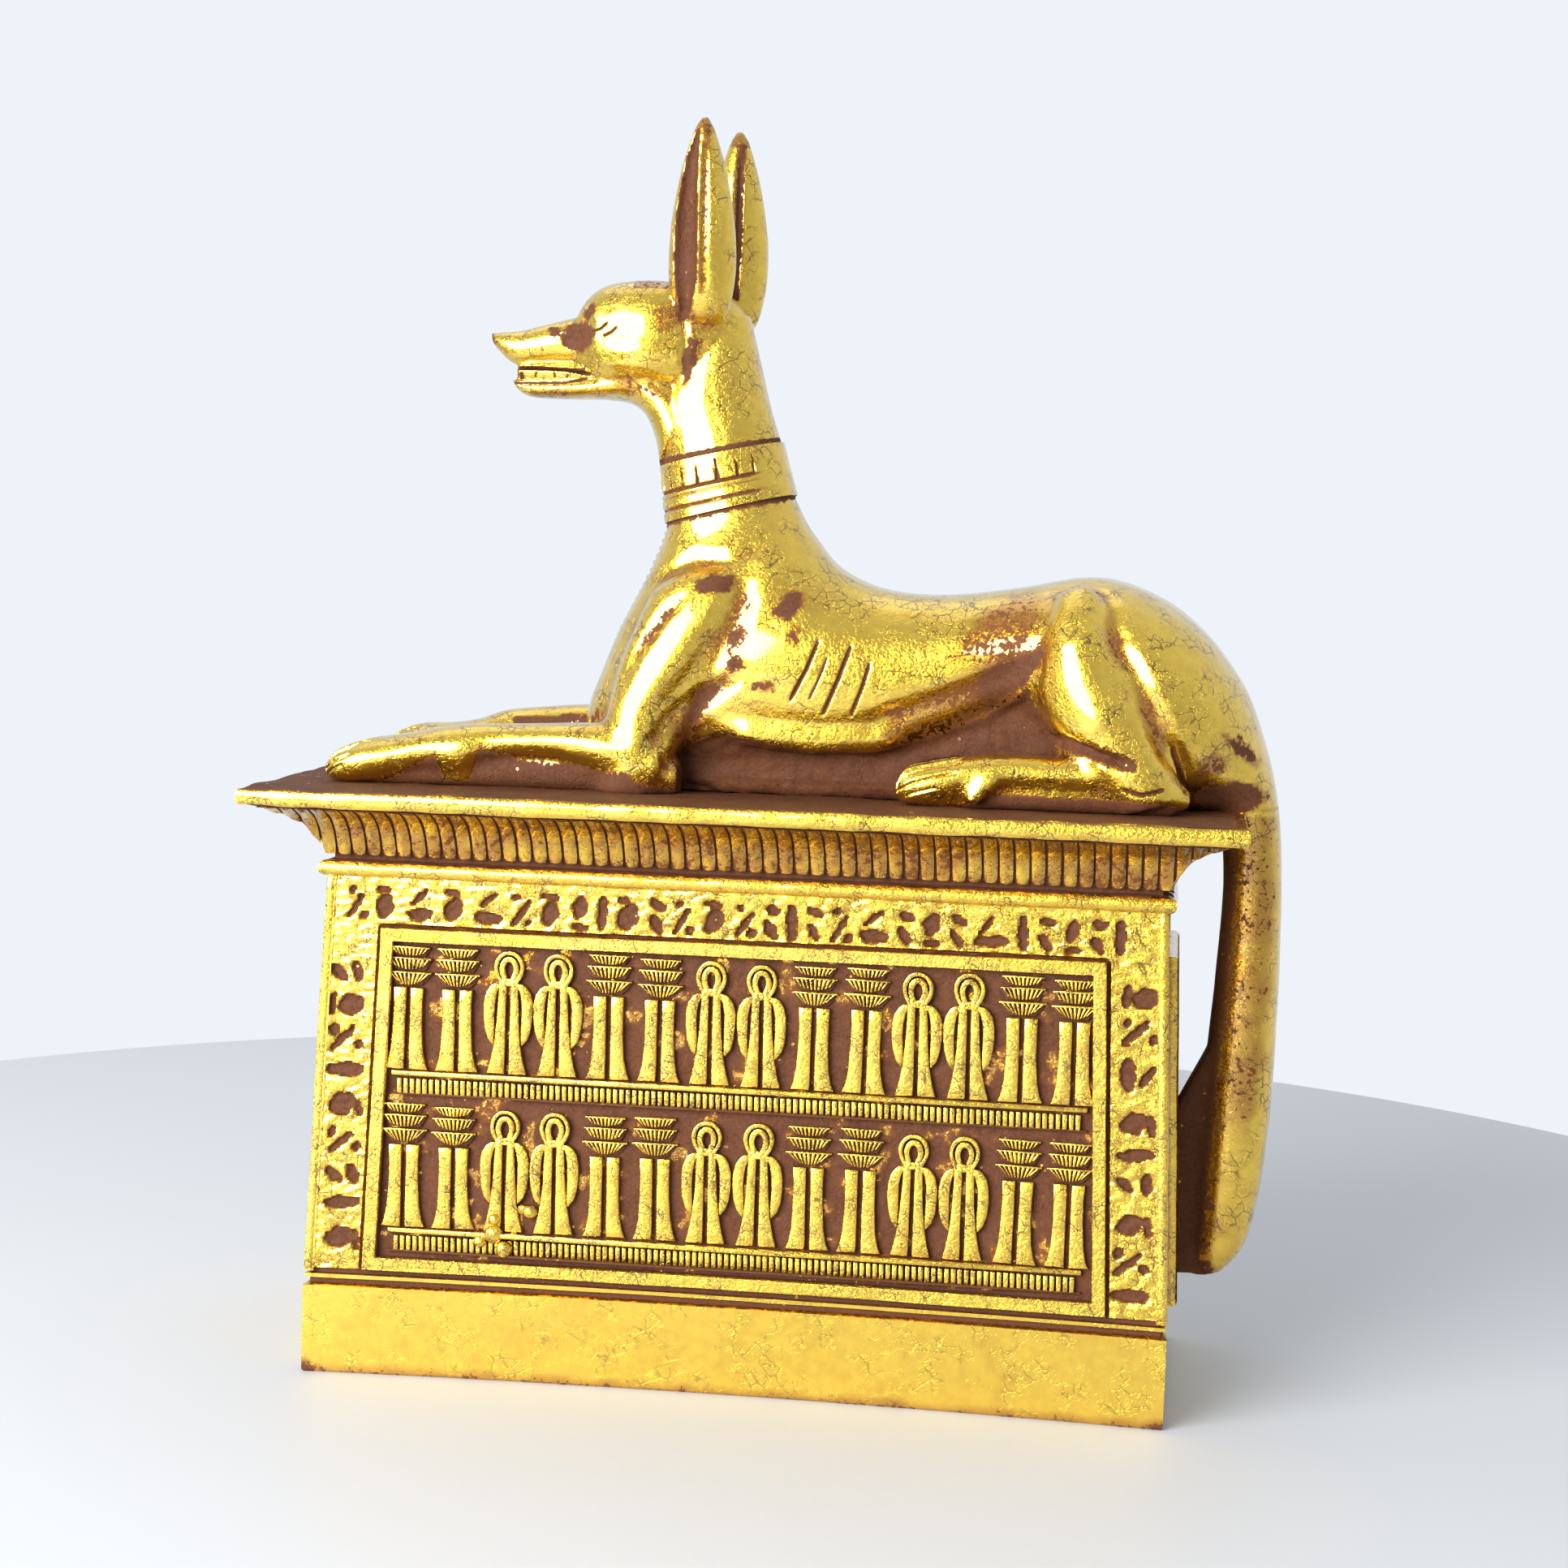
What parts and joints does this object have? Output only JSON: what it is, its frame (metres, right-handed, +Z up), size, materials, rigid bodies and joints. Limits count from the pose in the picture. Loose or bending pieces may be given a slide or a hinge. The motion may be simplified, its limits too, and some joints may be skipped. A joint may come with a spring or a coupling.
{
  "type": "gilded jackal figure on a shrine-shaped chest",
  "caption": "Collared jackal lying with raised head and hanging tail on a chest with a fluted flared cornice and two registers of relief figures, cast in one piece and gilded.",
  "frame": {"origin": "centre of the chest's underside", "axes": "+Z up; -X is where the jackal looks; -Y is the side that faces the viewer"},
  "size_m": [0.1903, 0.0856, 0.2362],
  "materials": {
    "gilded_resin": "cast resin, gilded with gold leaf over a red-brown ground that shows in the recesses and where the leaf is worn"
  },
  "bodies": {
    "root": {"jackal_on_chest": "gilded_resin"}
  },
  "joints": []
}
